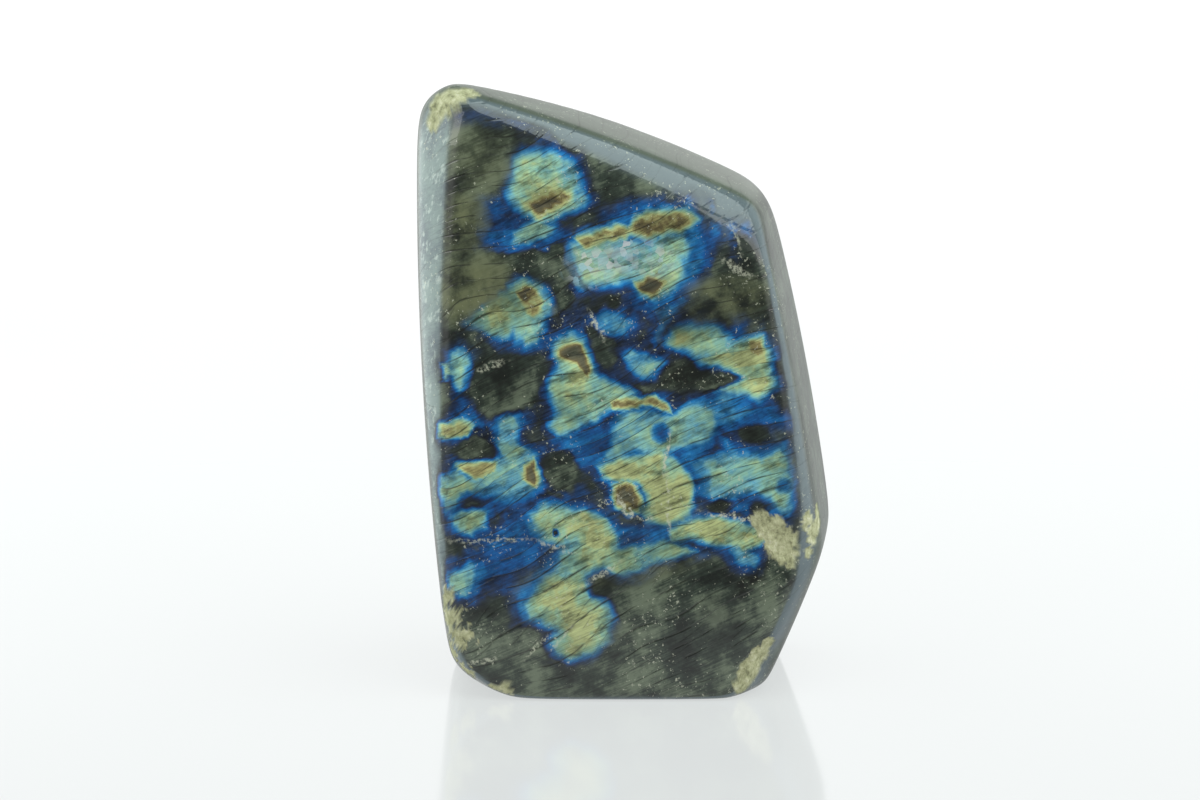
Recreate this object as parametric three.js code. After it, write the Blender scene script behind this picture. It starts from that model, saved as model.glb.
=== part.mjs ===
// A polished labradorite freeform: one natural stone, ground to a few broad domed faces with
// narrow bevels between them, and with patches of rough rock that the polishing did not reach.
// Millimetres, +Z up, +Y away from the viewer. The origin is at the middle of the base.

import * as THREE from 'three';
import { mergeVertices } from 'three/addons/utils/BufferGeometryUtils.js';

// Driving dimensions
const EDGE_ROUNDING = 1.2; // softness of the ground edges, about 0.4 of their radius
const BASE_ROUNDING = 0.9; // softness of the rim round the sawn base
const BASE_CUT = 0.05; // height at which the base is sawn flat, before the stone is set down on it
const MIDDLE = new THREE.Vector3(-2, 0, 54); // every surface point is in a straight line from here
const REACH = 110; // farther from the middle than any surface point
const SEARCH_STEPS = 44;

// Cage of the surface grid: the corners of the front outline as [x, z], and half the depth
const CAGE = {
  leftTop: [-41, 120],
  rightTop: [29, 99],
  rightCorner: [41, 33],
  leftBottom: [-35, 0],
  rightBottom: [32, 0],
  halfDepth: 24,
};
const CORNER_SHARE = CAGE.rightCorner[1] / CAGE.rightTop[1]; // how far up the right edge it bends
const STEPS = { across: 28, deep: 20, high: 38 };
const CROWDING = 0.72; // share of the steps' spacing that closes up towards the cage's edges

// The ground faces: a point that each passes through, the way it faces, and its dome radius
const FACES = [
  { name: 'front', through: [0, -20.5, 58], facing: [0, -0.995, 0.08], dome: 600 },
  { name: 'back', through: [2, 24, 55], facing: [0.05, 0.99, 0.1], dome: 260 },
  { name: 'back_shoulder', through: [-6, 18.5, 101], facing: [-0.1, 0.86, 0.5], dome: 220 },
  { name: 'left', through: [-40.2, 0, 58], facing: [-0.998, -0.04, -0.05], dome: 740 },
  { name: 'top', through: [0, 0, 110], facing: [0.355, -0.05, 0.933], dome: 330 },
  { name: 'right', through: [37, 0, 57], facing: [0.976, -0.12, 0.18], dome: 600 },
  { name: 'lower_right', through: [37.8, 0, 19], facing: [0.93, -0.1, -0.36], dome: 400 },
  { name: 'top_right', through: [28.6, 0, 96.2], facing: [0.8, -0.05, 0.6], dome: 120 },
  { name: 'left_bevel', through: [-37.6, -17.5, 58], facing: [-0.74, -0.67, 0.054], dome: 500 },
  { name: 'top_bevel', through: [-6, -13.5, 108.4], facing: [0.22, -0.74, 0.63], dome: 300 },
  { name: 'right_bevel', through: [34.4, -18, 57], facing: [0.76, -0.64, 0.13], dome: 500 },
  { name: 'lower_right_bevel', through: [34.4, -18, 19], facing: [0.78, -0.52, -0.32], dome: 200 },
  { name: 'back_left', through: [-34, 19, 55], facing: [-0.7, 0.71, 0.03], dome: 300 },
  { name: 'back_right', through: [33, 19, 50], facing: [0.72, 0.68, 0.1], dome: 300 },
  { name: 'top_left_side', through: [-40.8, 0, 114.8], facing: [-0.93, 0, 0.37], dome: 200 },
  { name: 'top_left', through: [-39.4, 0, 117.2], facing: [-0.7, 0, 0.71], dome: 200 },
  { name: 'top_left_crown', through: [-36.2, 0, 119.8], facing: [-0.39, 0, 0.92], dome: 200 },
  { name: 'left_heel_side', through: [-37.4, -8, 9], facing: [-0.88, -0.15, -0.45], dome: 150 },
  { name: 'left_heel', through: [-33.6, -14.5, 3], facing: [-0.72, -0.42, -0.55], dome: 120 },
  { name: 'left_heel_under', through: [-33, -10, 2.6], facing: [-0.55, -0.25, -0.8], dome: 120 },
  { name: 'right_heel', through: [30.5, -14, 3], facing: [0.68, -0.5, -0.53], dome: 120 },
];

// Unpolished breaks: a point on the surface, its reach and how deep the rock has broken away
const BREAKS = [
  { name: 'top_left_corner', at: [-35.5, -9, 116], reach: 7.5, depth: 1.2 },
  { name: 'right_corner', at: [33, -18, 31], reach: 8, depth: 1 },
  { name: 'lower_right_flake', at: [27.5, -19, 7], reach: 7.5, depth: 1 },
  { name: 'heel', at: [-33.5, -18, 12], reach: 8, depth: 0.4 },
  { name: 'front_pit', at: [1, -18, 87], reach: 10, depth: 0.7 },
];

const faces = FACES.map((face) => ({
  origin: new THREE.Vector3(...face.through),
  normal: new THREE.Vector3(...face.facing).normalize(),
  dome: face.dome,
}));

// How far a point is outside one ground face, negative inside
function outsideFace(face, point) {
  const offset = point.clone().sub(face.origin);
  const along = offset.dot(face.normal);
  const across = offset.lengthSq() - along * along;
  return along + across / (2 * face.dome);
}

// The largest of several distances, blended where they are close
function softMax(values, rounding) {
  const largest = Math.max(...values);
  const sum = values.reduce((total, value) => total + Math.exp((value - largest) / rounding), 0);
  return largest + rounding * Math.log(sum);
}

function outsideStone(point) {
  const sides = softMax(faces.map((face) => outsideFace(face, point)), EDGE_ROUNDING);
  return softMax([sides, -point.z], BASE_ROUNDING);
}

// The surface point straight out from the middle, found by halving
function surfaceAlong(direction) {
  let inside = 0;
  let outside = REACH;
  for (let step = 0; step < SEARCH_STEPS; step += 1) {
    const half = (inside + outside) / 2;
    if (outsideStone(MIDDLE.clone().addScaledVector(direction, half)) < 0) inside = half;
    else outside = half;
  }
  return MIDDLE.clone().addScaledVector(direction, inside);
}

// How much rock is missing at a point of the polished surface
function broken(point) {
  return BREAKS.reduce((total, { at, reach, depth }) => {
    const share = Math.min(1, point.distanceTo(new THREE.Vector3(...at)) / reach);
    return total + depth * (1 - share * share) ** 2;
  }, 0);
}

// A grid coordinate from -1 to 1, moved towards the nearer end
function crowd(value) {
  return (1 - CROWDING) * value + CROWDING * Math.sin((value * Math.PI) / 2);
}

// The point of the cage's right edge at a share of its height, on one axis of [x, z]
function rightEdge(share, axis) {
  const { rightBottom, rightCorner, rightTop } = CAGE;
  if (share < CORNER_SHARE) {
    return THREE.MathUtils.lerp(rightBottom[axis], rightCorner[axis], share / CORNER_SHARE);
  }
  const above = (share - CORNER_SHARE) / (1 - CORNER_SHARE);
  return THREE.MathUtils.lerp(rightCorner[axis], rightTop[axis], above);
}

// The point of the cage at grid coordinates that each run from -1 to 1
function cagePoint(grid) {
  const right = (1 + crowd(grid.x)) / 2;
  const top = (1 + crowd(grid.z)) / 2;
  const [x, z] = [0, 1].map((axis) => {
    const leftEdge = THREE.MathUtils.lerp(CAGE.leftBottom[axis], CAGE.leftTop[axis], top);
    return THREE.MathUtils.lerp(leftEdge, rightEdge(top, axis), right);
  });
  return new THREE.Vector3(x, crowd(grid.y) * CAGE.halfDepth, z);
}

function stoneGeometry() {
  const grid = new THREE.BoxGeometry(2, 2, 2, STEPS.across, STEPS.deep, STEPS.high);
  grid.deleteAttribute('normal');
  grid.deleteAttribute('uv');
  const geometry = mergeVertices(grid);
  const position = geometry.getAttribute('position');
  for (let index = 0; index < position.count; index += 1) {
    const corner = new THREE.Vector3().fromBufferAttribute(position, index);
    const direction = cagePoint(corner).sub(MIDDLE).normalize();
    const point = surfaceAlong(direction);
    point.addScaledVector(direction, -broken(point));
    position.setXYZ(index, point.x, point.y, Math.max(BASE_CUT, point.z));
  }
  return geometry;
}

// Moves the stone so that its base is at z = 0, under the middle of its width and depth
function centreOnBase(geometry) {
  geometry.computeBoundingBox();
  const { min, max } = geometry.boundingBox;
  geometry.translate(-(min.x + max.x) / 2, -(min.y + max.y) / 2, -min.z);
  geometry.computeVertexNormals();
  return geometry;
}

const stone = new THREE.Mesh(
  centreOnBase(stoneGeometry()),
  new THREE.MeshStandardMaterial({ color: 0x3f4a46, roughness: 0.12, metalness: 0 }),
);
stone.name = 'labradorite_stone';

const part = new THREE.Group();
part.add(stone);

export default part;
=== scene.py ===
import math

import bpy
import numpy as np
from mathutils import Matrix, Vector, noise


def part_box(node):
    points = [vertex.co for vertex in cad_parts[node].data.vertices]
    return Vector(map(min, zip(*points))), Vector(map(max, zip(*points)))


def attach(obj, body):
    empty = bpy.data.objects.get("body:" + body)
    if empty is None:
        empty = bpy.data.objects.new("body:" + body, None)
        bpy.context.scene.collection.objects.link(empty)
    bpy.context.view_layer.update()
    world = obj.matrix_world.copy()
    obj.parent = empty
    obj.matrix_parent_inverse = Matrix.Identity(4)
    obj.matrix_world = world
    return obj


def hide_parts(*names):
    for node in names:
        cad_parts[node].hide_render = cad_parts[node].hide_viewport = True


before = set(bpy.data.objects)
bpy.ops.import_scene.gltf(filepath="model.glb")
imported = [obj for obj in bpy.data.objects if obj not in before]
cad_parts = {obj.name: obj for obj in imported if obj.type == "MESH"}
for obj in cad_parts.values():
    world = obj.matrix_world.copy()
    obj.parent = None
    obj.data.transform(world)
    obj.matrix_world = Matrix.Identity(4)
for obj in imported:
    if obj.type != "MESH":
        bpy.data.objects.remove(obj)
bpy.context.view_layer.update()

MM = 0.001
STONE = "labradorite_stone"
NOISE_SEED = 1  # for the noise that stirs the markings, which otherwise differs in each run

# The shape, in millimetres and in the same terms as the CAD part, on a finer grid
EDGE_ROUNDING = 0.8
BASE_ROUNDING = 0.8
BASE_CUT = 0.05
MIDDLE = np.array((-2.0, 0.0, 54.0))
REACH = 110.0
SEARCH_STEPS = 30
LEFT_TOP = (-41.0, 120.0)
RIGHT_TOP = (29.0, 99.0)
RIGHT_CORNER = (41.0, 33.0)
LEFT_BOTTOM = (-35.0, 0.0)
RIGHT_BOTTOM = (32.0, 0.0)
HALF_DEPTH = 24.0
CORNER_SHARE = RIGHT_CORNER[1] / RIGHT_TOP[1]
GRID_STEPS = (146, 44, 212)
CROWDING = 0.25

# The ground faces: a point that each passes through, the way it faces, and its dome radius
GROUND_FACES = (
    ("front", (0, -20.5, 58), (0, -0.995, 0.08), 600),
    ("back", (2, 24, 55), (0.05, 0.99, 0.1), 260),
    ("back_shoulder", (-6, 18.5, 101), (-0.1, 0.86, 0.5), 220),
    ("left", (-40.2, 0, 58), (-0.998, -0.04, -0.05), 740),
    ("top", (0, 0, 110), (0.355, -0.05, 0.933), 330),
    ("right", (37, 0, 57), (0.976, -0.12, 0.18), 600),
    ("lower_right", (37.8, 0, 19), (0.93, -0.1, -0.36), 400),
    ("top_right", (28.6, 0, 96.2), (0.8, -0.05, 0.6), 120),
    ("left_bevel", (-37.6, -17.5, 58), (-0.74, -0.67, 0.054), 500),
    ("top_bevel", (-6, -13.5, 108.4), (0.22, -0.74, 0.63), 300),
    ("right_bevel", (34.4, -18, 57), (0.76, -0.64, 0.13), 500),
    ("lower_right_bevel", (34.4, -18, 19), (0.78, -0.52, -0.32), 200),
    ("back_left", (-34, 19, 55), (-0.7, 0.71, 0.03), 300),
    ("back_right", (33, 19, 50), (0.72, 0.68, 0.1), 300),
    ("top_left_side", (-40.8, 0, 114.8), (-0.93, 0, 0.37), 200),
    ("top_left", (-39.4, 0, 117.2), (-0.7, 0, 0.71), 200),
    ("top_left_crown", (-36.2, 0, 119.8), (-0.39, 0, 0.92), 200),
    ("left_heel_side", (-37.4, -8, 9), (-0.88, -0.15, -0.45), 150),
    ("left_heel", (-33.6, -14.5, 3), (-0.72, -0.42, -0.55), 120),
    ("left_heel_under", (-33, -10, 2.6), (-0.55, -0.25, -0.8), 120),
    ("right_heel", (30.5, -14, 3), (0.68, -0.5, -0.53), 120),
)

# Where rock has broken away, as in the CAD part: a point, its reach and its depth
HOLLOWS = (
    ("top_left_corner", (-35.5, -9, 116), 7.5, 1.2),
    ("right_corner", (33, -18, 31), 8, 1),
    ("lower_right_flake", (27.5, -19, 7), 7.5, 1),
    ("heel", (-33.5, -18, 12), 8, 0.4),
    ("front_pit", (1, -18, 87), 10, 0.7),
)

# The rough skin of the breaks: its depth, how ragged its rim is, and the balls that it fills,
# each with its middle and radius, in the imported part's frame
ROUGH_SKINS = (
    # The top left corner
    (0.5, 0.16, (
        (-38.4, -10.5, 113.4, 2.8), (-36.3, -10, 116.5, 3.8), (-33.6, -10, 118, 3.6),
        (-30.8, -9, 118.6, 2.6),
    )),
    # The right corner, and the edge beside it
    (0.6, 0.24, (
        (26.4, -22.9, 36.6, 2.2), (28.5, -22.8, 34.6, 3.2), (30.2, -22.5, 32.3, 3.8),
        (31.2, -22.4, 29.6, 2.4), (32, -22, 27.4, 1.2),
    )),
    (0.4, 0.45, (
        (35.3, -20.3, 36, 1.9), (36.8, -18.5, 32.8, 2.4), (35.4, -19.8, 29.3, 1.6),
        (38, -16, 35.5, 2.2),
    )),
    # The flake at the lower right
    (0.6, 0.2, (
        (27.6, -21.2, 11.4, 2.2), (26.2, -21.3, 8.6, 3.2), (24.6, -21.6, 5.8, 3.4),
        (23.2, -21.8, 3.2, 2.8),
    )),
    # The left heel, and the base beside it
    (0.25, 0.7, (
        (-34.6, -21.4, 21, 2), (-34.1, -21.7, 17, 2.6), (-32.4, -22.4, 13, 2.8),
        (-33.8, -18.2, 9, 3), (-31.2, -20.1, 5.7, 2.4),
    )),
    (0.3, 0.5, ((-26, -21.7, 2.8, 1.4), (-23.5, -22.7, 2.3, 1.8))),
    # The back, which is guessed
    (0.5, 0.4, ((-14, 21.5, 5, 4), (-8, 22.5, 4, 3.2), (-19, 20.5, 7, 3.2))),
    (0.4, 0.45, ((35.5, 14, 58, 2.6), (35.2, 14.5, 63, 3), (34.8, 14, 67.5, 2))),
)
SKIN_RIM = 0.14  # share of a ball's radius over which its skin reaches full depth
SKIN_SINK = 0.3  # share of a skin's depth that is missing everywhere in it

# The photograph's frame and its camera: the target in the picture, and the way to it
PHOTO_WIDTH = 1200
PHOTO_HEIGHT = 800
TARGET = Vector((0.0, 0.0, 0.058))
TARGET_PIXEL = (625.8, 388.2)
CAMERA_DISTANCE = 0.7
CAMERA_RISE = math.radians(12)
FOCAL_PIXELS = 3500
SENSOR = 36.0

# Markings on the front face, drawn over the photograph and given in its pixels

# Flash patches, the stone's reflected play of colour painted into its colour: the order of their
# colour, the width of their rim, and their outline.
# The order runs from 0, dark, through 2 blue, 4 sky, 6 green and 8 gold, to 10, grey brown.
FLASH_PATCHES = (
    # Along the top bevel's left end
    (1.9, 9, (
        (450, 110), (500, 110), (548, 126), (560, 146), (512, 138), (470, 130), (450, 140),
    )),
    # Upper left
    (6.6, 15, (
        (511, 158), (525, 152), (556, 153), (576, 164), (587, 185), (590, 204), (575, 214),
        (556, 222), (541, 226), (522, 218), (507, 205), (508, 192), (513, 178),
    )),
    (9.6, 10, (
        (514, 203), (545, 192), (570, 187), (577, 195), (572, 206), (552, 215), (540, 222),
        (528, 214),
    )),
    (5.2, 10, ((512, 230), (540, 218), (558, 228), (548, 242), (530, 250), (510, 244))),
    (2.7, 12, (
        (478, 205), (500, 202), (520, 222), (545, 224), (560, 235), (545, 252), (520, 252),
        (478, 244), (486, 225),
    )),
    (6.2, 12, (
        (461, 324), (480, 302), (500, 290), (515, 282), (527, 300), (532, 318), (520, 334),
        (504, 341), (475, 332),
    )),
    (6.6, 13, (
        (506, 284), (522, 275), (541, 276), (552, 290), (556, 305), (549, 325), (538, 343),
        (526, 348), (512, 342),
    )),
    (9.8, 8, (
        (512, 292), (522, 282), (538, 282), (547, 296), (546, 312), (535, 323), (526, 315),
        (518, 305),
    )),
    # Round the frosted pit
    (6.0, 14, (
        (566, 245), (590, 228), (610, 226), (632, 238), (650, 238), (668, 226), (685, 232),
        (692, 250), (688, 275), (678, 292), (655, 304), (640, 299), (628, 286), (605, 290),
        (583, 284), (570, 266),
    )),
    (8.8, 7, (
        (573, 238), (600, 228), (622, 221), (642, 234), (630, 241), (605, 245), (586, 251),
    )),
    (9.6, 7, ((630, 279), (648, 273), (669, 279), (663, 292), (651, 299), (638, 291))),
    (9.6, 10, (
        (632, 218), (660, 207), (690, 211), (702, 222), (684, 231), (664, 237), (645, 241),
        (630, 238),
    )),
    (2.8, 8, (
        (604, 216), (630, 207), (660, 203), (664, 212), (640, 222), (625, 238), (606, 232),
    )),
    (3.2, 10, (
        (672, 226), (702, 222), (709, 240), (706, 264), (694, 284), (678, 300), (655, 316),
        (636, 306), (660, 296),
    )),
    (3.6, 7, ((566, 240), (582, 252), (588, 290), (576, 292), (562, 262))),
    # The blue mosaic at the upper right
    (3.1, 3, ((682, 198), (690, 196), (694, 206), (686, 208))),
    (3.4, 3, ((704, 199), (713, 201), (717, 217), (709, 215))),
    (3.2, 3, ((709, 221), (719, 223), (719, 241), (710, 239))),
    (3.3, 3, ((726, 221), (737, 221), (737, 243), (728, 241))),
    (3.3, 3, ((739, 221), (751, 221), (752, 241), (744, 239))),
    (2.6, 3, ((729, 243), (738, 243), (736, 254))),
    # The striped patch at the right
    (6.9, 15, (
        (660, 342), (680, 324), (712, 318), (735, 336), (762, 326), (776, 352), (776, 386),
        (758, 402), (735, 396), (712, 388), (735, 380), (722, 372), (700, 364), (682, 354),
    )),
    (8.8, 8, ((745, 336), (764, 330), (772, 352), (760, 360), (748, 352))),
    (2.6, 7, ((720, 324), (742, 320), (748, 334), (736, 344), (722, 339))),
    # Left edge
    (5.8, 9, (
        (447, 352), (462, 343), (474, 355), (476, 372), (471, 388), (459, 390), (447, 376),
    )),
    (8.2, 5, ((440, 362), (449, 360), (452, 374), (440, 380))),
    (2.2, 8, ((452, 388), (474, 388), (482, 402), (470, 416), (450, 416))),
    (8.2, 7, ((436, 424), (462, 416), (476, 426), (469, 437), (436, 442))),
    (3.4, 7, ((452, 414), (470, 410), (490, 424), (486, 434), (474, 430))),
    (4.4, 11, (
        (486, 425), (500, 413), (518, 408), (528, 420), (522, 434), (530, 445), (543, 452),
        (549, 470), (549, 487), (535, 500), (515, 503), (478, 501), (465, 508), (444, 520),
        (436, 490), (448, 470), (462, 462), (492, 452),
    )),
    (5.8, 9, (
        (496, 421), (515, 411), (525, 426), (523, 440), (532, 448), (520, 458), (498, 458),
        (492, 440),
    )),
    (9.4, 7, ((522, 462), (534, 455), (543, 466), (545, 480), (535, 488), (523, 480))),
    (8.4, 6, ((452, 462), (475, 459), (500, 456), (494, 468), (475, 478), (460, 471))),
    (6.3, 8, ((436, 475), (462, 469), (478, 480), (476, 496), (455, 502), (436, 498))),
    (5.9, 8, ((446, 515), (470, 506), (486, 511), (487, 529), (470, 538), (452, 532))),
    # The middle
    (6.3, 11, (
        (550, 350), (554, 337), (570, 330), (583, 334), (592, 352), (602, 372), (614, 380),
        (642, 391), (628, 404), (608, 412), (600, 422), (580, 430), (558, 434), (547, 425),
        (553, 412), (548, 395), (546, 375), (553, 362),
    )),
    (9.7, 7, (
        (556, 346), (567, 339), (581, 339), (589, 354), (597, 370), (590, 380), (580, 367),
        (565, 359), (556, 355),
    )),
    (4.0, 8, (
        (590, 318), (604, 308), (621, 310), (635, 322), (627, 336), (607, 337), (594, 328),
    )),
    (5.8, 9, (
        (618, 355), (630, 345), (646, 350), (663, 356), (674, 366), (656, 380), (640, 378),
        (626, 368),
    )),
    (3.6, 6, (
        (640, 300), (656, 308), (682, 294), (692, 300), (672, 320), (663, 338), (652, 350),
        (646, 342), (660, 322),
    )),
    (2.7, 9, (
        (556, 436), (590, 428), (614, 430), (612, 446), (596, 464), (575, 460), (560, 452),
    )),
    (9.2, 6, (
        (608, 398), (625, 392), (640, 397), (655, 391), (666, 399), (669, 412), (650, 405),
        (635, 407), (612, 407),
    )),
    (5.3, 12, (
        (616, 408), (650, 404), (668, 412), (690, 400), (714, 400), (721, 420), (716, 440),
        (690, 449), (664, 455), (640, 455), (616, 458), (594, 464), (608, 440),
    )),
    (3.4, 7, (
        (690, 398), (725, 389), (750, 394), (756, 410), (737, 423), (712, 428), (698, 416),
    )),
    # Right edge
    (2.5, 8, ((742, 408), (765, 403), (789, 413), (794, 432), (770, 428), (748, 427))),
    (3.8, 9, (
        (716, 430), (740, 444), (760, 450), (789, 438), (796, 456), (770, 464), (725, 460),
    )),
    (6.0, 9, ((760, 454), (780, 446), (792, 458), (792, 476), (770, 481), (756, 470))),
    (5.8, 13, (
        (692, 464), (705, 454), (725, 446), (765, 454), (790, 462), (798, 482), (796, 508),
        (782, 518), (768, 502), (755, 497), (730, 500), (712, 503), (696, 492),
    )),
    (3.0, 7, ((664, 470), (690, 440), (712, 428), (722, 440), (702, 458), (680, 476))),
    (3.0, 6, (
        (708, 501), (735, 496), (758, 503), (788, 508), (786, 522), (755, 517), (735, 514),
        (714, 512),
    )),
    # The gold band
    (7.1, 10, (
        (594, 464), (618, 452), (640, 452), (660, 445), (674, 455), (690, 470), (697, 485),
        (695, 507), (686, 520), (665, 525), (645, 523), (638, 510), (646, 500), (638, 486),
        (620, 482), (602, 478),
    )),
    (9.5, 8, (
        (610, 484), (624, 479), (637, 486), (644, 500), (641, 514), (628, 515), (614, 503),
    )),
    (7.2, 9, (
        (664, 526), (690, 514), (712, 514), (740, 520), (762, 526), (772, 542), (757, 551),
        (742, 556), (728, 548), (712, 543), (690, 538), (670, 543),
    )),
    (8.8, 6, ((732, 530), (752, 528), (762, 538), (746, 543))),
    (4.7, 7, ((724, 546), (745, 547), (764, 556), (755, 569), (736, 563))),
    (6.0, 10, (
        (598, 544), (622, 546), (640, 543), (665, 538), (690, 543), (704, 550), (680, 559),
        (655, 566), (640, 574), (618, 579), (598, 568),
    )),
    (3.0, 8, (
        (596, 510), (618, 518), (640, 524), (662, 517), (675, 530), (666, 548), (640, 540),
        (613, 538), (600, 526),
    )),
    # Lower left
    (7.0, 14, (
        (527, 515), (541, 501), (560, 503), (585, 506), (607, 516), (621, 535), (618, 556),
        (602, 570), (589, 577), (594, 598), (609, 604), (617, 620), (609, 642), (594, 660),
        (572, 664), (553, 657), (545, 646), (552, 634), (538, 631), (523, 625), (522, 605),
        (532, 588), (548, 570), (558, 556), (556, 547), (543, 542), (532, 534),
    )),
    (7.9, 10, ((556, 592), (585, 573), (591, 592), (572, 612), (552, 621), (543, 610))),
    (7.8, 10, ((571, 520), (595, 516), (607, 530), (592, 547), (567, 552))),
    (3.5, 7, (
        (512, 592), (540, 563), (562, 543), (562, 560), (545, 588), (536, 606), (533, 632),
        (517, 628),
    )),
    (3.7, 7, ((524, 520), (540, 514), (558, 532), (564, 545), (545, 549), (526, 537))),
    (2.2, 14, (
        (464, 562), (480, 540), (496, 520), (505, 500), (530, 488), (549, 502), (545, 540),
        (553, 555), (532, 580), (512, 596), (488, 602), (470, 600),
    )),
    (5.8, 9, ((444, 575), (468, 559), (481, 563), (475, 586), (463, 601), (446, 600))),
    (3.1, 7, ((470, 560), (486, 558), (492, 575), (480, 598), (464, 602))),
)

# Zones on the front face: middle across and down, half length, half width, tilt in degrees
# rising to the right, and strength.

# The faint deep blue between the patches, as an order
BLUE_ZONES = (
    (600, 300, 160, 66, 10, 1.6),
    (650, 400, 160, 100, 5, 1.8),
    (540, 240, 76, 40, -10, 1.5),
    (490, 460, 60, 80, 0, 1.4),
    (560, 500, 60, 30, 0, 1.5),
)

# Places without flash, as the share of its order that they take away
FLASH_GAPS = (
    (683, 375, 34, 16, 5, 0.9),
    (712, 381, 30, 6, 9, 0.9),
    (476, 448, 19, 12, 0, 0.9),
    (467, 501, 10, 12, 0, 0.62),
    (660, 431, 10, 9, 0, 0.6),
    (753, 433, 16, 12, 0, 0.8),
    (722, 505, 14, 8, 10, 0.9),
    (757, 509, 10, 7, 0, 0.8),
    (556, 534, 4, 4, 0, 1.0),
    (500, 385, 36, 30, 10, 1.0),
    (560, 470, 22, 18, 10, 1.0),
    (520, 262, 44, 9, 3, 0.9),
    (600, 590, 12, 10, 40, 0.7),
    (784, 487, 9, 8, 0, 0.45),
    (702, 478, 9, 16, 0, 0.35),
)

# Duller places, as the share of the light that they take away
DULL_ZONES = (
    (490, 305, 60, 34, 20, 0.45),
    (462, 224, 36, 34, 0, 0.4),
    (668, 222, 42, 16, 10, 0.35),
    (692, 324, 40, 20, 20, 0.5),
    (720, 350, 60, 20, 15, 0.3),
    (652, 285, 24, 14, 0, 0.45),
    (640, 556, 50, 16, 10, 0.3),
    (572, 655, 30, 14, 10, 0.35),
    (552, 208, 44, 18, 12, 0.15),
)

# Olive ground
OLIVE_ZONES = (
    (458, 224, 30, 34, 0, 0.9),
    (470, 290, 50, 34, 15, 1.0),
    (722, 300, 46, 26, 10, 0.9),
    (758, 340, 16, 24, 0, 0.8),
    (640, 570, 70, 14, 12, 0.6),
    (480, 165, 40, 40, 0, 0.4),
)

# Black inclusions
BLACK_ZONES = (
    (683, 375, 26, 14, 5, 0.85),
    (712, 381, 26, 4, 9, 0.7),
    (750, 583, 28, 9, 49, 1.0),
    (722, 505, 12, 7, 10, 0.8),
    (762, 509, 10, 7, 0, 0.6),
    (478, 447, 17, 9, 0, 0.6),
    (556, 534, 4, 4, 0, 0.9),
    (607, 588, 16, 9, 40, 0.6),
    (752, 432, 14, 9, 0, 0.55),
    (500, 385, 30, 22, 10, 0.4),
    (718, 620, 30, 26, 60, 0.35),
)

# Pale crumbling fractures
FRACTURES = (
    (666, 452, 24, 2.6, 84, 0.9),
    (668, 502, 34, 2.6, 92, 0.7),
    (597, 324, 18, 3.4, -64, 0.9),
    (625, 507, 17, 3.2, -55, 0.9),
    (644, 517, 10, 3.2, 0, 0.8),
    (736, 517, 38, 3, -9, 0.9),
    (490, 366, 18, 4, 20, 0.6),
    (488, 541, 46, 2.6, 2, 0.6),
    (556, 547, 24, 3, -18, 0.6),
    (536, 650, 20, 2.2, 50, 0.7),
    (562, 640, 18, 2.2, 48, 0.5),
    (476, 667, 26, 2.2, 16, 0.7),
    (600, 575, 26, 3.4, 35, 0.7),
    (729, 222, 32, 3, -68, 0.7),
    (702, 203, 30, 3.6, -32, 0.7),
    (738, 270, 20, 4, -30, 0.6),
    (800, 566, 20, 2, -52, 0.9),
)

# The frosted pit
FROSTED_ZONES = (
    (592, 267, 28, 19, 12, 1.0),
    (628, 256, 36, 18, 5, 0.9),
    (656, 262, 24, 15, 0, 0.7),
)


def flat(rows):
    """Rows of numbers as one array."""
    return np.array(rows, dtype=float)


FACE_POINTS = flat([face[1] for face in GROUND_FACES])
FACE_NORMALS = flat([face[2] for face in GROUND_FACES])
FACE_NORMALS /= np.linalg.norm(FACE_NORMALS, axis=1)[:, None]
FACE_DOMES = flat([face[3] for face in GROUND_FACES])


def soft_max(values, rounding):
    """The largest of several distances at each point, blended where they are close."""
    largest = np.max(values, axis=0)
    total = np.sum(np.exp((values - largest) / rounding), axis=0)
    return largest + rounding * np.log(total)


def outside_stone(points):
    """How far each point is outside the polished stone, negative inside."""
    distances = []
    for origin, normal, dome in zip(FACE_POINTS, FACE_NORMALS, FACE_DOMES):
        offset = points - origin
        along = offset @ normal
        across = np.einsum("ij,ij->i", offset, offset) - along * along
        distances.append(along + across / (2 * dome))
    sides = soft_max(np.array(distances), EDGE_ROUNDING)
    return soft_max(np.array((sides, -points[:, 2])), BASE_ROUNDING)


def surface_along(directions):
    """The polished surface's points straight out from the middle, found by halving."""
    inside = np.zeros(len(directions))
    outside = np.full(len(directions), REACH)
    for _ in range(SEARCH_STEPS):
        half = (inside + outside) / 2
        within = outside_stone(MIDDLE + directions * half[:, None]) < 0
        inside = np.where(within, half, inside)
        outside = np.where(within, outside, half)
    return MIDDLE + directions * inside[:, None]


def surface_normals(points):
    """The way the polished surface faces at each point."""
    step = 0.01
    slopes = []
    for axis in range(3):
        shift = np.zeros(3)
        shift[axis] = step
        slopes.append(outside_stone(points + shift) - outside_stone(points - shift))
    normals = np.stack(slopes, axis=1)
    return normals / np.linalg.norm(normals, axis=1)[:, None]


def cage_grid():
    """The points of a box's surface grid, each part from -1 to 1, and its four-sided faces."""
    places = {}
    quads = []
    for axis in range(3):
        one, two = (axis + 1) % 3, (axis + 2) % 3
        for side in (0, GRID_STEPS[axis]):
            for i in range(GRID_STEPS[one]):
                for j in range(GRID_STEPS[two]):
                    quad = []
                    for k, m in ((i, j), (i + 1, j), (i + 1, j + 1), (i, j + 1)):
                        key = [0, 0, 0]
                        key[axis], key[one], key[two] = side, k, m
                        quad.append(places.setdefault(tuple(key), len(places)))
                    quads.append(quad if side else quad[::-1])
    return 2 * flat(list(places)) / flat(GRID_STEPS) - 1, quads


def crowd(values):
    """Grid coordinates from -1 to 1, moved towards the nearer end."""
    return (1 - CROWDING) * values + CROWDING * np.sin(values * math.pi / 2)


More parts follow.
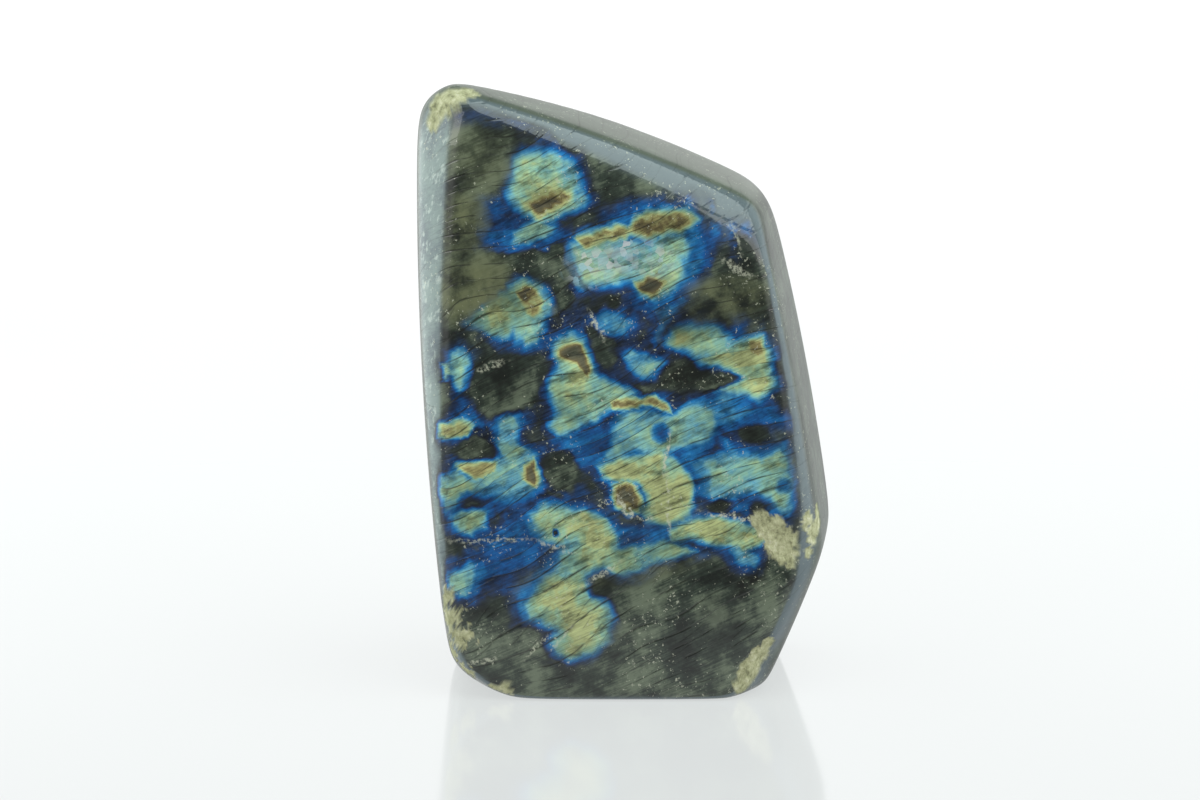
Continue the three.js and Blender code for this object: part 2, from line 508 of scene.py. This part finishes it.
def blend(start, end, share):
    return start + (end - start) * share


def cage_points(grid):
    """The points of the cage that follows the stone's front outline."""
    right = (1 + crowd(grid[:, 0])) / 2
    top = (1 + crowd(grid[:, 2])) / 2
    below = np.clip(top / CORNER_SHARE, 0, 1)
    above = np.clip((top - CORNER_SHARE) / (1 - CORNER_SHARE), 0, 1)
    sides = []
    for axis in (0, 1):
        left_edge = blend(LEFT_BOTTOM[axis], LEFT_TOP[axis], top)
        lower = blend(RIGHT_BOTTOM[axis], RIGHT_CORNER[axis], below)
        upper = blend(RIGHT_CORNER[axis], RIGHT_TOP[axis], above)
        right_edge = np.where(top < CORNER_SHARE, lower, upper)
        sides.append(blend(left_edge, right_edge, right))
    return np.stack((sides[0], crowd(grid[:, 1]) * HALF_DEPTH, sides[1]), axis=1)


def hollowed(points):
    """How much rock is missing at each point of the polished surface."""
    total = np.zeros(len(points))
    for _, place, reach, depth in HOLLOWS:
        share = np.minimum(1, np.linalg.norm(points - flat(place), axis=1) / reach)
        total += depth * (1 - share * share) ** 2
    return total


def into_box(points, low, high):
    """The points, moved and sized so that they fill the box from low to high."""
    least, most = points.min(axis=0), points.max(axis=0)
    return low + (points - least) / (most - least) * (high - low)


def roughen(points, normals):
    """Chips the rough skins into the points, and tells how rough each is, from 0 to 1."""
    rough = np.zeros(len(points))
    for depth, ragged, balls in ROUGH_SKINS:
        rows = flat(balls)
        far = np.linalg.norm(points[:, None, :] - rows[None, :, :3], axis=2)
        inside = np.max(1 - far / rows[:, 3], axis=1)
        for index in np.nonzero(inside > -ragged)[0]:
            spot = Vector(points[index])
            rim = inside[index] + ragged * noise.fractal(spot * 0.7, 0.8, 2.1, 4)
            share = min(1.0, rim / SKIN_RIM)
            if share <= rough[index]:
                continue
            chips = 0.35 * abs(noise.noise(spot * 0.8)) + 0.22 * noise.cell(spot * 0.9)
            points[index] -= normals[index] * share * (SKIN_SINK * depth + depth * chips)
            rough[index] = share
    return rough


# Places on the front face in millimetres from the photograph's pixels
FACE_PIXEL = 0.1945  # width of a pixel
FACE_ACROSS = 625.8  # the pixel at x = 0
FACE_TOP = 138.1  # height of the picture's top edge
FACE_DROP = 0.1953  # height of a pixel

# How the markings blend, in pixels and orders
ZONE_SPREAD = 1.15
ZONE_EDGE = 2.6
HALO_ORDER = 2.2
HALO_REACH = 22
RIM_DRIFT = 26
OLIVE_RIM = (5, 3)  # on olive ground the flash goes out between these orders
BACK_ORDER = 7.5


def smooth_step(values, start, end):
    """A smooth step from 0, where the values are at start, to 1 at end."""
    share = np.clip((values - start) / (end - start), 0, 1)
    return share * share * (3 - 2 * share)


def stirred(points, scale, size):
    """The points, moved about by smooth noise."""
    return points + size * flat([noise.noise_vector(Vector(point) * scale) for point in points])


def on_photo(points):
    """Where points of the front face are in the photograph, in pixels across and down."""
    across = FACE_ACROSS + points[:, 0] / FACE_PIXEL
    down = (FACE_TOP - points[:, 2]) / FACE_DROP
    return np.stack((across, down), axis=1)


def zone_field(spots, rows):
    """The strongest of several zones at each spot, each a dome over an ellipse."""
    strongest = np.zeros(len(spots))
    for across, down, length, width, tilt, strength in rows:
        turn = math.radians(tilt)
        right = spots[:, 0] - across
        up = down - spots[:, 1]
        along = (right * math.cos(turn) + up * math.sin(turn)) / length
        over = (up * math.cos(turn) - right * math.sin(turn)) / width
        far = np.hypot(along, over) / ZONE_SPREAD
        strongest = np.maximum(strongest, strength * np.clip(1 - far**ZONE_EDGE, 0, 1))
    return strongest


def inside_outline(spots, outline):
    """How far each spot is inside a closed outline, negative outside."""
    corners = flat(outline)
    nearest = np.full(len(spots), np.inf)
    within = np.zeros(len(spots), dtype=bool)
    for start, end in zip(corners, np.roll(corners, -1, axis=0)):
        edge = end - start
        offset = spots - start
        share = np.clip(offset @ edge / (edge @ edge), 0, 1)
        nearest = np.minimum(nearest, np.linalg.norm(offset - share[:, None] * edge, axis=1))
        crosses = (start[1] > spots[:, 1]) != (end[1] > spots[:, 1])
        crossing = start[0] + offset[:, 1] * edge[0] / (edge[1] or 1.0)
        within ^= crosses & (spots[:, 0] < crossing)
    return np.where(within, nearest, -nearest)


def patch_fields(spots, drift):
    """The patches' highest order at each spot, the order of the blue halo round them, and how much
    of both is lit: their rims fade into the rock where the drift is low."""
    highest = np.zeros(len(spots))
    halo = np.zeros(len(spots))
    lit = np.zeros(len(spots))
    for order, rim, outline in FLASH_PATCHES:
        inside = inside_outline(spots, outline)
        rise = smooth_step(inside, -0.75 * rim, 0.8 * rim)
        rise *= 0.92 + 0.14 * smooth_step(inside, 0, 2.5 * rim)
        highest = np.maximum(highest, order * rise)
        lit = np.maximum(lit, smooth_step(inside + RIM_DRIFT * drift, -HALO_REACH, 5))
        if order > HALO_ORDER:
            halo = np.maximum(halo, HALO_ORDER * smooth_step(inside, -HALO_REACH, 2))
    return highest, halo, lit


def markings(points, normals):
    """The markings at each point, by name: the flash's order, and shares from 0 to 1."""
    moved = stirred(stirred(points, 0.22, 0.8), 0.7, 0.45)
    spots = on_photo(moved)
    front = smooth_step(normals[:, 1], -0.6, -0.85)
    back = smooth_step(normals[:, 1], 0.75, 0.92)
    islands = flat([noise.fractal(Vector(point) * 0.06, 1.0, 2.0, 3) for point in moved])
    drift = flat([noise.noise(Vector(point) * 0.055) for point in moved])
    patches, halo, lit = patch_fields(spots, drift)
    thin = flat([noise.fractal(Vector(point) * 0.13, 1.0, 2.0, 3) for point in moved])
    wide = zone_field(spots, BLUE_ZONES) * smooth_step(thin, -0.8, 0.0)
    lit = np.maximum(lit, smooth_step(wide, 0.3, 1.3))
    order = np.maximum(patches, np.maximum(halo * smooth_step(thin, -0.8, 0.0), wide))
    order *= front * (1 - zone_field(spots, FLASH_GAPS))
    # On olive ground the patches have no blue rim
    olive = zone_field(spots, OLIVE_ZONES)
    lit *= 1 - olive * smooth_step(order, *OLIVE_RIM)
    return {
        "order": order + BACK_ORDER * back * smooth_step(islands, 0.0, 0.5),
        "lit": lit + back,
        "olive": front * olive,
        "dull": front * zone_field(spots, DULL_ZONES),
        "black": front * zone_field(spots, BLACK_ZONES),
        "frost": front * zone_field(spots, FROSTED_ZONES),
    }


def make_stone():
    """The stone on the fine grid, in metres, inside the CAD node's box."""
    grid, quads = cage_grid()
    directions = cage_points(grid) - MIDDLE
    directions /= np.linalg.norm(directions, axis=1)[:, None]
    points = surface_along(directions)
    normals = surface_normals(points)
    points -= directions * hollowed(points)[:, None]
    points[:, 2] = np.maximum(points[:, 2], BASE_CUT)
    low, high = (np.array(corner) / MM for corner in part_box(STONE))
    points = into_box(points, low, high)
    rough = roughen(points, normals)
    points[:, 2] = np.maximum(points[:, 2], 0)
    mesh = bpy.data.meshes.new("labradorite")
    mesh.from_pydata((points * MM).tolist(), [], quads)
    smooth = rough[np.array(quads)].mean(axis=1) < 0.6
    mesh.polygons.foreach_set("use_smooth", smooth)
    mesh.attributes.new("facing", "FLOAT_VECTOR", "POINT").data.foreach_set("vector", normals.ravel())
    for name, values in {"rough": rough, **markings(points, normals)}.items():
        mesh.attributes.new(name, "FLOAT", "POINT").data.foreach_set("value", values)
    mesh.update()
    stone = bpy.data.objects.new("labradorite", mesh)
    bpy.context.scene.collection.objects.link(stone)
    return stone


def light_of(red, green, blue):
    """A colour as a screen shows it, each part from 0 to 255, as the light that shaders use."""
    parts = []
    for part in (red, green, blue):
        share = part / 255
        parts.append(share / 12.92 if share <= 0.04045 else ((share + 0.055) / 1.055) ** 2.4)
    return (*parts, 1.0)


class Nodes:
    """Adds shader nodes to one tree and joins them up."""

    def __init__(self, tree):
        self.tree = tree
        tree.nodes.clear()

    def add(self, kind, settings=(), inputs=()):
        node = self.tree.nodes.new("ShaderNode" + kind)
        for name, value in dict(settings).items():
            setattr(node, name, value)
        for name, value in dict(inputs).items():
            self.feed(node.inputs[name], value)
        return node

    def feed(self, socket, value):
        if isinstance(value, bpy.types.NodeSocket):
            self.tree.links.new(value, socket)
        else:
            socket.default_value = value

    def attribute(self, name):
        return self.add("Attribute", {"attribute_name": name}).outputs["Fac"]

    def math(self, operation, *values):
        return self.add("Math", {"operation": operation}, dict(enumerate(values))).outputs[0]

    def times(self, first, second):
        return self.math("MULTIPLY", first, second)

    def without(self, value):
        """What is left of 1 when the value is taken away."""
        return self.math("SUBTRACT", 1.0, value)

    def vector(self, operation, *values):
        node = self.add("VectorMath", {"operation": operation}, dict(enumerate(values)))
        return node.outputs["Value" if operation == "LENGTH" else "Vector"]

    def scaled(self, vector, scale):
        return self.add("VectorMath", {"operation": "SCALE"}, {0: vector, "Scale": scale}).outputs[0]

    def split(self, vector):
        return self.add("SeparateXYZ", {}, {0: vector}).outputs

    def join(self, x=0.0, y=0.0, z=0.0):
        return self.add("CombineXYZ", {}, {0: x, 1: y, 2: z}).outputs[0]

    def step(self, value, start, end, low=0.0, high=1.0):
        """A smooth step from low, where the value is at start, to high at end."""
        inputs = {"Value": value, "From Min": start, "From Max": end, "To Min": low, "To Max": high}
        settings = {"interpolation_type": "SMOOTHSTEP", "clamp": False}
        return self.add("MapRange", settings, inputs).outputs[0]

    def noise(self, vector, scale, detail=3.0, roughness=0.55, output="Fac"):
        inputs = {"Vector": vector, "Scale": scale, "Detail": detail, "Roughness": roughness}
        return self.add("TexNoise", {}, inputs).outputs[output]

    def shake(self, vector, scale, detail, size):
        """A vector made by noise, each part of it up to half the size either way."""
        colour = self.noise(vector, scale, detail, output="Color")
        return self.scaled(self.vector("SUBTRACT", colour, (0.5, 0.5, 0.5)), size)

    def cells(self, vector, scale, output):
        return self.add("TexVoronoi", {}, {"Vector": vector, "Scale": scale}).outputs[output]

    def chance(self, number):
        return self.add("TexWhiteNoise", {"noise_dimensions": "1D"}, {"W": number}).outputs["Value"]

    def mix(self, share, first, second):
        node = self.add("Mix", {"data_type": "RGBA"}, {0: share, 6: first, 7: second})
        return node.outputs[2]

    def ramp(self, value, stops):
        node = self.add("ValToRGB", {}, {0: value})
        elements = node.color_ramp.elements
        while len(elements) < len(stops):
            elements.new(1.0)
        for element, (place, colour) in zip(elements, stops):
            element.position = place
            element.color = light_of(*colour)
        return node.outputs[0]


# The colours of the flash by order, from dark rock to grey brown, as shares of the top order
TOP_ORDER = 10.0
GOLD_ORDER = 7.5  # noise takes no patch past this order, or past its own if that is higher
FLASH_COLOURS = (
    (0.00, (46, 52, 48)),
    (0.10, (42, 49, 56)),
    (0.17, (36, 56, 92)),
    (0.24, (22, 80, 140)),
    (0.33, (28, 110, 170)),
    (0.42, (70, 140, 178)),
    (0.48, (106, 166, 182)),
    (0.56, (132, 180, 166)),
    (0.65, (156, 188, 150)),
    (0.74, (178, 188, 132)),
    (0.81, (162, 156, 104)),
    (0.87, (122, 110, 74)),
    (0.93, (98, 94, 74)),
    (1.00, (86, 92, 78)),
)

# The rock's colours, as a screen shows them: ramps by the value of a noise, and single tones, among
# them painted light and painted sheen
ROCK_COLOURS = ((0.36, (25, 30, 26)), (0.48, (48, 57, 49)), (0.62, (100, 110, 92)))
GREY_COLOURS = ((0.3, (36, 43, 36)), (0.5, (54, 63, 54)), (0.7, (82, 92, 79)))
SKIN_COLOURS = (
    (0.3, (112, 113, 86)),
    (0.46, (160, 161, 126)),
    (0.6, (187, 187, 152)),
    (0.75, (214, 213, 193)),
)
TOP_PAINTED_LIGHT = (104, 114, 100)
BEVEL_PAINTED_SHEEN = (94, 108, 116)
LEFT_SHEEN_GREY = (118, 134, 130)
SHEEN_STREAK_GREY = (172, 184, 176)
OLIVE = (102, 106, 76)
BLACK = (20, 22, 19)
LINE_BLACK = (24, 26, 20)
FROST_BLUE = (140, 186, 200)
FROST_WHITE = (206, 200, 200)
FLECK_CREAM = (186, 188, 168)

# Cleavage: the tilt of its layers in degrees, and the gap between them in millimetres
CLEAVAGE_TILT = 24.0
CLEAVAGE_GAP = 3.1
FINE_TILT = 36.0
FINE_GAP = 1.9


def thin_zones(nodes, place, rows):
    """The strongest of a few thin zones at a place on the front face."""
    strongest = 0.0
    for across, down, length, width, tilt, strength in rows:
        inputs = {
            "Vector": place,
            "Location": (FACE_PIXEL * (across - FACE_ACROSS), FACE_TOP - FACE_DROP * down, 0),
            "Rotation": (0, 0, math.radians(tilt)),
            "Scale": (FACE_PIXEL * length, FACE_PIXEL * width, 1000),
        }
        local = nodes.add("Mapping", {"vector_type": "TEXTURE"}, inputs).outputs[0]
        shape = nodes.step(nodes.vector("LENGTH", local), 1.3, 0.4, 0.0, strength)
        strongest = nodes.math("MAXIMUM", strongest, shape)
    return strongest


def cleavage(nodes, face, tilt, gap, width, rarity):
    """Layers that rise to the right: the way along them, across them, their number and lines."""
    inputs = {"Vector": face, "Rotation": (0, 0, math.radians(-tilt))}
    along, over, _ = nodes.split(nodes.add("Mapping", {}, inputs).outputs[0])
    bend = nodes.times(nodes.noise(face, 0.035, 1.0), 15.0 / gap)
    layer = nodes.math("MULTIPLY_ADD", over, 1 / gap, bend)
    number = nodes.math("FLOOR", layer)
    share = nodes.math("FRACT", layer)
    edge = nodes.math("MINIMUM", share, nodes.without(share))
    stretch = nodes.join(nodes.times(along, 0.14), nodes.times(number, 1.7))
    shows = nodes.step(nodes.noise(stretch, 1.0, 2.0), rarity, rarity + 0.12)
    line = nodes.times(nodes.step(edge, width / gap, 0.0), shows)
    return along, over, number, line


def labradorite():
    material = bpy.data.materials.new("labradorite_polished")
    material.use_nodes = True
    nodes = Nodes(material.node_tree)
    place = nodes.scaled(nodes.add("TexCoord").outputs["Object"], 1 / MM)
    x, y, z = nodes.split(place)
    face = nodes.join(x, z, y)
    facing = nodes.add("Attribute", {"attribute_name": "facing"}).outputs["Vector"]
    right, behind, up = nodes.split(facing)
    rough = nodes.attribute("rough")
    order = nodes.attribute("order")
    frost = nodes.attribute("frost")
    front = nodes.step(behind, -0.78, -0.93)

    # Cleavage layers, each with its own colour shift and brightness
    along, over, number, line = cleavage(nodes, face, CLEAVAGE_TILT, CLEAVAGE_GAP, 0.3, 0.44)
    fine_line = cleavage(nodes, face, FINE_TILT, FINE_GAP, 0.22, 0.5)[3]
    layer_shift = nodes.math("MULTIPLY_ADD", nodes.chance(number), 1.0, -0.5)
    layer_light = nodes.math("MULTIPLY_ADD", nodes.chance(nodes.math("ADD", number, 50.5)), 0.3, 0.8)

    # The flash: the stone's own play of colour, a reflection from within, painted into the base colour
    lit = nodes.times(nodes.step(order, 0.1, 1.6), nodes.attribute("lit"))
    grain = nodes.noise(face, 0.8, 5.0, 0.65)
    swirl = nodes.noise(face, 0.14, 4.0, 0.6)
    wobble = nodes.math("MULTIPLY_ADD", grain, 1.6, -0.8)
    shift = nodes.times(nodes.math("ADD", wobble, layer_shift), lit)
    shown = nodes.math("MULTIPLY_ADD", order, nodes.math("MULTIPLY_ADD", swirl, 1.3, 0.36), shift)
    shown = nodes.math("MINIMUM", shown, nodes.math("MAXIMUM", order, GOLD_ORDER))
    flash = nodes.ramp(nodes.math("DIVIDE", shown, TOP_ORDER), FLASH_COLOURS)

    # Its light: clouds, silky streaks along the layers, and duller places
    cloud = nodes.step(nodes.noise(place, 0.2, 5.0, 0.62), 0.32, 0.6, 0.62, 1.1)
    streaks = nodes.noise(nodes.join(nodes.times(along, 0.2), nodes.times(over, 3.0), y), 1.0, 3.0)
    silk = nodes.step(streaks, 0.3, 0.65, 0.66, 1.1)
    dull = nodes.without(nodes.attribute("dull"))
    veils = nodes.noise(nodes.join(nodes.times(along, 0.16), nodes.times(over, 0.5), y), 1.0, 5.0, 0.65)
    veil = nodes.step(veils, 0.34, 0.5, 0.42, 1.0)
    light = nodes.times(nodes.times(cloud, silk), nodes.times(dull, layer_light))
    light = nodes.times(light, veil)
    flash = nodes.scaled(flash, light)

    # The dark rock between the flashes, and the greyer rock of the other sides, where the upward faces
    # get painted light from above and the bevels a painted sheen
    mottle = nodes.noise(place, 0.13, 6.0, 0.62)
    streaked = nodes.math("MULTIPLY_ADD", nodes.math("SUBTRACT", streaks, 0.5), 0.25, mottle)
    rock = nodes.ramp(streaked, ROCK_COLOURS)
    grey = nodes.ramp(streaked, GREY_COLOURS)
    # Upward faces mixed towards a paler grey: painted light from above
    grey = nodes.mix(nodes.step(up, 0.5, 0.85, 0.0, 0.5), grey, light_of(*TOP_PAINTED_LIGHT))
    # A bluish grey mixed in on the bevels between the front and the sides: painted sheen
    bevel = nodes.step(behind, -0.3, -0.55)
    grey = nodes.mix(nodes.times(bevel, 0.7), grey, light_of(*BEVEL_PAINTED_SHEEN))

    # The left bevel gets a painted sheen, stronger higher up and clouded, with paler streaks in that
    # painted sheen
    left_sheen = nodes.times(nodes.step(right, -0.25, -0.6), bevel)
    left_sheen = nodes.times(left_sheen, nodes.step(z, 10.0, 60.0, 0.35, 1.0))
    sheen_clouds = nodes.times(left_sheen, nodes.step(streaked, 0.3, 0.62))
    grey = nodes.mix(sheen_clouds, grey, light_of(*LEFT_SHEEN_GREY))
    sheen_streaks = nodes.times(left_sheen, nodes.step(veils, 0.52, 0.66, 0.0, 0.7))
    grey = nodes.mix(sheen_streaks, grey, light_of(*SHEEN_STREAK_GREY))
    olive = nodes.times(nodes.attribute("olive"), nodes.step(mottle, 0.3, 0.6))
    rock = nodes.mix(front, grey, nodes.mix(olive, rock, light_of(*OLIVE)))
    colour = nodes.mix(lit, rock, flash)

    # Black inclusions, cleavage lines and the frosted pit
    black = nodes.times(nodes.attribute("black"), nodes.step(grain, 0.35, 0.55, 0.5, 1.0))
    colour = nodes.mix(black, colour, light_of(*BLACK))
    lines = nodes.math("MAXIMUM", line, nodes.times(fine_line, 0.6))
    dark_lines = nodes.times(lines, nodes.math("MULTIPLY_ADD", front, 0.6, 0.25))
    colour = nodes.mix(dark_lines, colour, light_of(*LINE_BLACK))
    crystals = nodes.cells(nodes.vector("ADD", face, nodes.shake(face, 1.5, 2.0, 0.6)), 0.75, "Color")
    sparkle = nodes.split(crystals)[0]
    frosting = nodes.times(frost, nodes.step(sparkle, 0.15, 0.95, 0.05, 0.8))
    tint = nodes.mix(nodes.split(crystals)[1], light_of(*FROST_BLUE), light_of(*FROST_WHITE))
    colour = nodes.mix(frosting, colour, tint)

    # Pale flecks, gathered in drifts, and crumbling fractures
    fleck = nodes.noise(place, 1.35, 3.0, 0.7)
    drift = nodes.step(nodes.noise(place, 0.1, 4.0, 0.6), 0.3, 0.65, 0.73, 0.6)
    flecks = nodes.step(nodes.math("SUBTRACT", fleck, drift), 0.0, 0.05)
    jagged = nodes.vector("ADD", face, nodes.shake(face, 0.5, 3.0, 2.4))
    broken = nodes.times(thin_zones(nodes, jagged, FRACTURES), front)
    crumbs = nodes.times(broken, nodes.step(fleck, 0.42, 0.6))
    pale = nodes.math("MAXIMUM", nodes.times(flecks, 0.6), crumbs)
    colour = nodes.mix(pale, colour, light_of(*FLECK_CREAM))

    # The rough skin of the breaks
    sugar = nodes.noise(place, 0.6, 5.0, 0.68)
    colour = nodes.mix(rough, colour, nodes.ramp(sugar, SKIN_COLOURS))

    # Relief, in millimetres
    swell = nodes.times(nodes.noise(place, 0.16, 2.0), 0.05)
    grooves = nodes.times(lines, -0.03)
    grit = nodes.times(nodes.math("ADD", rough, nodes.times(frost, 0.4)), nodes.times(sugar, 0.35))
    relief = nodes.math("ADD", swell, nodes.math("ADD", grooves, grit))
    bump = nodes.add("Bump", {}, {"Strength": 1.0, "Distance": MM, "Height": relief}).outputs[0]
    unpolished = nodes.math("MAXIMUM", nodes.times(frost, 0.5), nodes.times(crumbs, 0.7))
    unpolished = nodes.math("MAXIMUM", rough, unpolished)
    # The front is the most polished, and the right side the least
    polish = nodes.step(behind, -0.2, -0.5, 0.4, 0.85)
    polish = nodes.times(polish, nodes.step(right, 0.5, 0.95, 1.0, 0.35))

    inputs = {
        "Base Color": colour,
        "Roughness": nodes.math("MULTIPLY_ADD", rough, 0.4, 0.42),
        "IOR": 1.5,
        "Specular IOR Level": 0.12,
        "Coat Weight": nodes.times(polish, nodes.without(unpolished)),
        "Coat Roughness": 0.05,
        "Coat IOR": 1.55,
        "Normal": bump,
        "Coat Normal": bump,
    }
    shader = nodes.add("BsdfPrincipled", {}, inputs)
    nodes.add("OutputMaterial", {}, {"Surface": shader.outputs[0]})
    return material


# The floor: half its width in metres, and its looks
FLOOR_HALF = 1.5
FLOOR_GLOW = 0.6
FLOOR_ALBEDO = 0.14
FLOOR_ROUGHNESS = 0.1
FLOOR_TINT = (0.97, 1.0, 1.0, 1)
GLOW_HIDDEN = (-0.05, -0.14)  # the y between which the glow fades out of mirrored light


def make_floor():
    """A glossy white sheet that glows a little, so that it shows pale from every side."""
    half = FLOOR_HALF
    corners = [(-half, -half, 0), (half, -half, 0), (half, half, 0), (-half, half, 0)]
    mesh = bpy.data.meshes.new("floor")
    mesh.from_pydata(corners, [], [(0, 1, 2, 3)])
    floor = bpy.data.objects.new("floor", mesh)
    bpy.context.scene.collection.objects.link(floor)
    material = bpy.data.materials.new("floor")
    material.use_nodes = True
    nodes = Nodes(material.node_tree)
    _, away, _ = nodes.split(nodes.add("TexCoord").outputs["Object"])
    ahead = nodes.step(away, *GLOW_HIDDEN)
    hidden = nodes.times(nodes.add("LightPath").outputs["Is Glossy Ray"], ahead)
    inputs = {
        "Base Color": (FLOOR_ALBEDO, FLOOR_ALBEDO, FLOOR_ALBEDO, 1),
        "Roughness": FLOOR_ROUGHNESS,
        "IOR": 1.5,
        "Emission Color": FLOOR_TINT,
        "Emission Strength": nodes.times(nodes.without(hidden), FLOOR_GLOW),
    }
    shader = nodes.add("BsdfPrincipled", {}, inputs)
    nodes.add("OutputMaterial", {}, {"Surface": shader.outputs[0]})
    mesh.materials.append(material)
    return floor


def make_world():
    """A white room with a dark place behind the camera and a dark ceiling."""
    world = bpy.data.worlds.new("studio")
    world.use_nodes = True
    nodes = Nodes(world.node_tree)
    _, behind, up = nodes.split(nodes.add("TexCoord").outputs["Generated"])
    walls = nodes.step(up, 0.5, 0.35, 0.15, 1.0)
    dark = nodes.step(behind, -0.8, -0.93, 0.0, 0.9)
    seen = nodes.add("LightPath").outputs["Is Camera Ray"]
    strength = nodes.math("MAXIMUM", nodes.times(walls, nodes.without(dark)), seen)
    background = nodes.add("Background", {}, {"Color": (1, 1, 1, 1), "Strength": strength})
    nodes.add("OutputWorld", {}, {"Surface": background.outputs[0]})
    bpy.context.scene.world = world


def add_softbox(name, place, aim, size, radiance, colour):
    """A soft light panel of a given size and brightness, aimed at a point."""
    data = bpy.data.lights.new(name, "AREA")
    data.shape = "RECTANGLE"
    data.size, data.size_y = size
    data.energy = radiance * math.pi * size[0] * size[1]
    data.color = colour
    light = bpy.data.objects.new(name, data)
    light.location = place
    light.rotation_euler = (Vector(aim) - Vector(place)).to_track_quat("-Z", "Y").to_euler()
    light.visible_camera = False
    bpy.context.scene.collection.objects.link(light)


def make_lights():
    cool = (0.87, 1.0, 0.97)
    white = (1.0, 1.0, 0.98)
    add_softbox("left_panel", (-0.22, 0.1, 0.2), (0, 0.1, 0.2), (0.42, 0.4), 1.3, cool)
    add_softbox("right_panel", (0.28, 0.1, 0.2), (0, 0.1, 0.2), (0.42, 0.4), 1.2, cool)
    add_softbox("top_panel", (0.12, -0.12, 0.5), (0.02, 0, 0.06), (0.45, 0.35), 3.2, cool)
    add_softbox("key_left", (-0.55, -0.5, 0.5), (0, 0, 0.06), (0.45, 0.45), 2.4, white)
    add_softbox("key_right", (0.55, -0.5, 0.5), (0, 0, 0.06), (0.45, 0.45), 2.4, white)


def make_camera():
    data = bpy.data.cameras.new("camera")
    data.sensor_width = SENSOR
    data.lens = SENSOR * FOCAL_PIXELS / PHOTO_WIDTH
    data.shift_x = (PHOTO_WIDTH / 2 - TARGET_PIXEL[0]) / PHOTO_WIDTH
    data.shift_y = (TARGET_PIXEL[1] - PHOTO_HEIGHT / 2) / PHOTO_WIDTH
    data.clip_start = 0.01
    camera = bpy.data.objects.new("camera", data)
    back = Vector((0, -math.cos(CAMERA_RISE), math.sin(CAMERA_RISE)))
    camera.location = TARGET + CAMERA_DISTANCE * back
    camera.rotation_euler = (math.pi / 2 - CAMERA_RISE, 0, 0)
    bpy.context.scene.collection.objects.link(camera)
    bpy.context.scene.camera = camera


noise.seed_set(NOISE_SEED)
stone = make_stone()
stone.data.materials.append(labradorite())
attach(stone, "root")
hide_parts(STONE)

make_floor()
make_world()
make_lights()
make_camera()
bpy.context.scene.view_settings.view_transform = "Standard"
